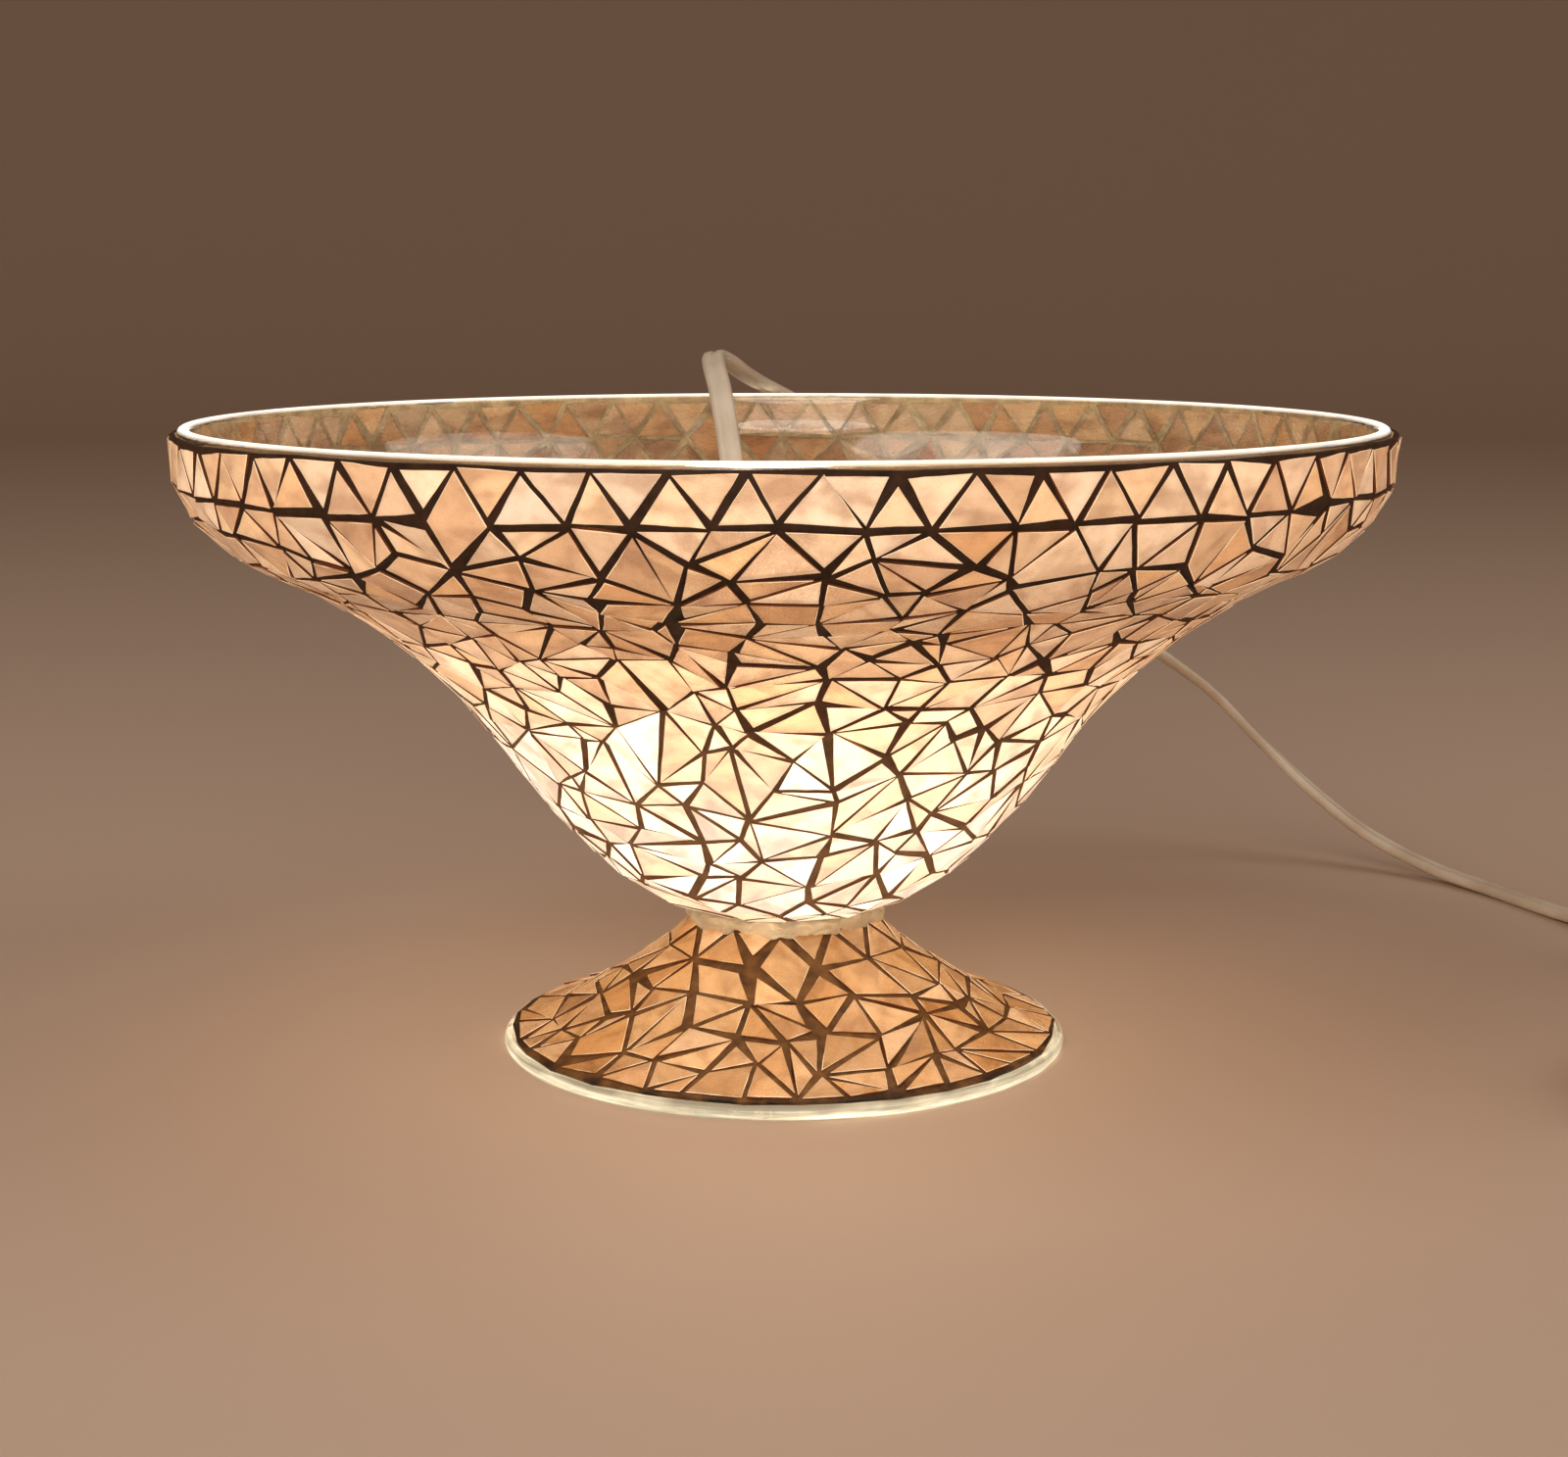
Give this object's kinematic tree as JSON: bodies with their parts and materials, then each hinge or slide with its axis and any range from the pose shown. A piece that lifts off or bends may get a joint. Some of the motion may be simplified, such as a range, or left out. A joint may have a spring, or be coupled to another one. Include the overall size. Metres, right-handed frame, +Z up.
{
  "type": "mosaic glass table lamp",
  "caption": "Low open glass bowl lamp on a flared foot, covered with a mosaic of glass chips in dark grout, lit from inside by a bulb, with a flat cord over the rim.",
  "frame": {"origin": "centre of the foot's underside, on the table", "axes": "+Z up along the lamp's axis, -Y to the front, the cord leaving to +Y over the rim and then to +X"},
  "size_m": [0.3621, 0.3079, 0.1433],
  "materials": {
    "clear_glass": "clear, polished, slightly warm",
    "bowl_tiles": "pearly champagne glass chips, translucent, fine streaks",
    "foot_tiles": "amber and honey glass chips, translucent",
    "grout": "dark brown grout, matte",
    "foot_grout": "brown grout, thin enough to glow",
    "cement": "hard pale glue, rough",
    "adhesive": "soft glue pad",
    "holder_shell": "moulded cream phenolic",
    "fibre": "vulcanised fibre",
    "brass": "plain",
    "steel": "plain",
    "black_glass": "black glass bead",
    "opal": "frosted, lit",
    "ivory": "soft sheen ivory",
    "cord": "smooth cream PVC",
    "tie": "white",
    "thumbwheel": "ribbed brown"
  },
  "bodies": {
    "lamp": {"bowl_glass": "clear_glass", "bowl_grout": "grout", "bowl_tiles_course_02": "bowl_tiles", "bowl_tiles_course_03": "bowl_tiles", "bowl_tiles_course_04": "bowl_tiles", "bowl_tiles_course_05": "bowl_tiles", "bowl_tiles_course_06": "bowl_tiles", "bowl_tiles_course_07": "bowl_tiles", "bowl_tiles_course_08": "bowl_tiles", "bowl_tiles_course_09": "bowl_tiles", "bowl_tiles_course_10": "bowl_tiles", "bowl_tiles_course_11": "bowl_tiles", "bowl_tiles_course_12": "bowl_tiles", "centre_contact": "brass", "coil_tie": "tie", "contact_washer": "fibre", "cord_coil": "cord", "cord_end": "cord", "cord_lead": "cord", "cord_relief": "ivory", "cord_tail": "cord", "foot_glass": "clear_glass", "foot_grout": "foot_grout", "foot_tiles_course_01": "foot_tiles", "foot_tiles_course_02": "foot_tiles", "foot_tiles_course_03": "foot_tiles", "foot_tiles_course_04": "foot_tiles", "holder_base": "holder_shell", "holder_pad": "adhesive", "holder_shell": "holder_shell", "neck_cement": "cement", "plug_blade_live": "brass", "plug_blade_neutral": "brass", "plug_body": "ivory", "rim_border_tiles": "bowl_tiles", "screw_shell": "brass", "switch_axle": "brass", "switch_base": "ivory", "switch_contact": "brass", "switch_cover": "ivory", "switch_screw": "steel", "terminal_live": "brass", "terminal_neutral": "brass", "terminal_screw_live": "steel", "terminal_screw_neutral": "steel"},
    "bulb": {"bulb_contact": "steel", "bulb_insulator": "black_glass", "bulb_cap": "brass", "bulb_glass": "opal", "bulb_stem": "clear_glass", "bulb_filament": "steel"},
    "thumbwheel": {"switch_wheel": "thumbwheel"}
  },
  "joints": [
    {"name": "bulb_lift", "type": "slide", "parent": "lamp", "child": "bulb", "axis": [0, 0, 1], "range_m": [0, 0.09]},
    {"name": "switch_turn", "type": "hinge", "parent": "lamp", "child": "thumbwheel", "pos_m": [0.22243, 0.04111, 0.008], "axis": [0, 0, 1], "continuous": true}
  ]
}
